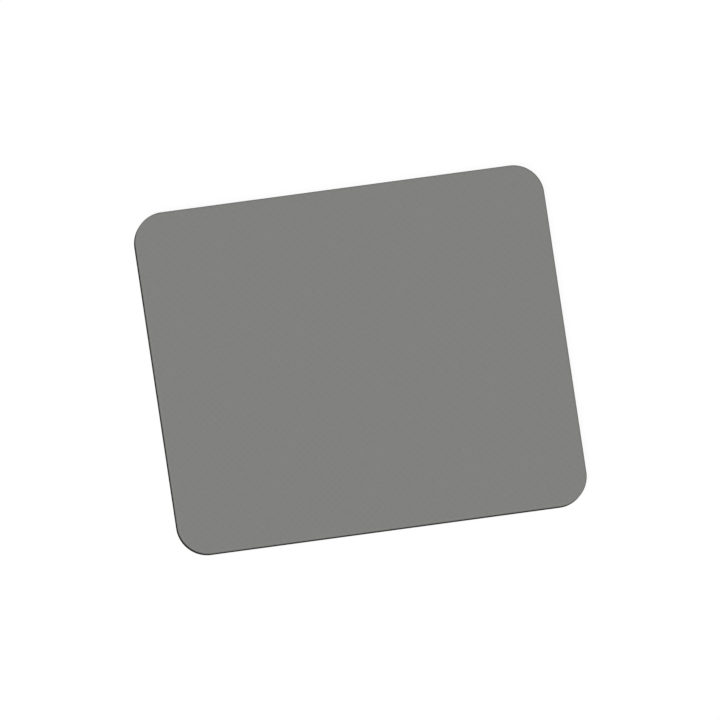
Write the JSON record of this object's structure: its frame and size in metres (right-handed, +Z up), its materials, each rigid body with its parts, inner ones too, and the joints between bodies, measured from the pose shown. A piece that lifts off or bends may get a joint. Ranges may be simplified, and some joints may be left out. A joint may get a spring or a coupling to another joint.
{
  "type": "mouse pad",
  "caption": "Rectangular rounded-corner mouse pad: woven cloth face bonded to a sponge-rubber base with a die-cut edge and a non-slip underside.",
  "frame": {"origin": "centre of the underside, on the desk", "axes": "+X along the long side to the user's right, +Y away from the user, +Z up out of the cloth face"},
  "size_m": [0.235, 0.1964, 0.0063],
  "materials": {
    "pad_cloth": "matte",
    "bond_film": "satin",
    "sponge_rubber": "matte"
  },
  "bodies": {
    "root": {"top_cloth": "pad_cloth", "adhesive_film": "bond_film", "sponge_base": "sponge_rubber"}
  },
  "joints": []
}
